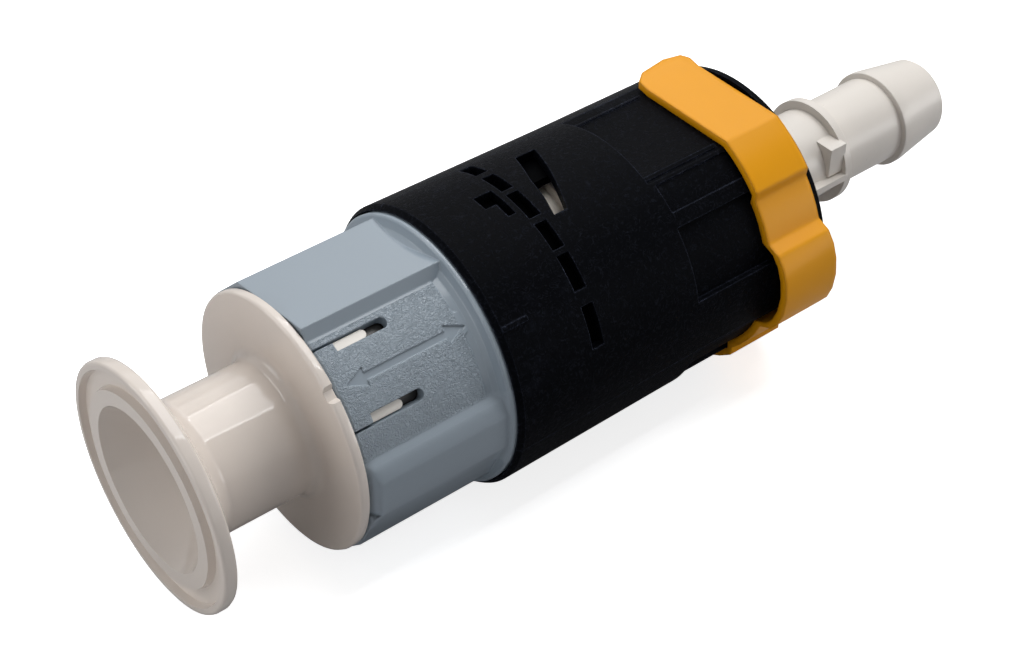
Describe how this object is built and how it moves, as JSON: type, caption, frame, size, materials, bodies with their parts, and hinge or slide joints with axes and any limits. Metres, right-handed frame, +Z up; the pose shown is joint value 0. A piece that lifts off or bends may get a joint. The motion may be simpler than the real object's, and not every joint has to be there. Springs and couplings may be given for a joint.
{
  "type": "sanitary hose barb coupling",
  "caption": "Inline coupling from a sanitary clamp flange to a hose barb, with a latched collar, a turning sleeve that opens the valve inside, and a pull-off locking clip.",
  "frame": {"origin": "centre of the sanitary flange's rim, halfway through its edge thickness", "axes": "+X along the flow axis from the sanitary flange to the hose barb, +Z up as the coupling hangs in a level line, arrow panel and clip lobe on the -Y side"},
  "size_m": [0.1995, 0.0632, 0.059],
  "materials": {
    "cream_plastic": "warm off-white moulded resin, satin gloss",
    "cream_bush": "plain bearing resin",
    "grey_plastic": "blue-grey moulded resin with textured panels",
    "black_plastic": "black glass-filled resin with a fine matt texture",
    "yellow_plastic": "amber yellow moulded resin, satin",
    "seal_rubber": "pale silicone",
    "steel": "stainless"
  },
  "bodies": {
    "insert_half": {"sanitary_insert": "cream_plastic", "lock_collar": "grey_plastic", "retaining_ring": "steel", "insert_seal_front": "seal_rubber", "insert_seal_rear": "seal_rubber", "plug_spider": "cream_plastic", "valve_plug": "cream_plastic", "plug_seal": "seal_rubber", "plug_nut": "steel", "plug_washer": "steel"},
    "sleeve": {"sleeve_cover_shell": "black_plastic", "sleeve_back_shell": "black_plastic", "thrust_washer": "cream_bush", "drive_ring": "black_plastic", "sleeve_end_plate": "black_plastic", "stem_bush": "cream_bush", "stem_wiper": "seal_rubber"},
    "carrier": {"cam_carrier": "cream_plastic", "barb_stem": "cream_plastic", "stem_seal": "seal_rubber", "stem_lock_ring": "steel"},
    "clip": {"locking_clip": "yellow_plastic"}
  },
  "joints": [
    {"name": "sleeve_turn", "type": "hinge", "parent": "insert_half", "child": "sleeve", "pos_m": [0, 0, 0], "axis": [1, 0, 0], "range_deg": [0, 54]},
    {"name": "carrier_slide", "type": "slide", "parent": "insert_half", "child": "carrier", "axis": [1, 0, 0], "range_m": [0, 0.004]},
    {"name": "clip_pull", "type": "slide", "parent": "sleeve", "child": "clip", "axis": [0, -1, 0], "range_m": [0, 0.045]}
  ],
  "couplings": [
    {"joint": "carrier_slide", "follows": "sleeve_turn", "m_per_rad": 0.0042441}
  ]
}
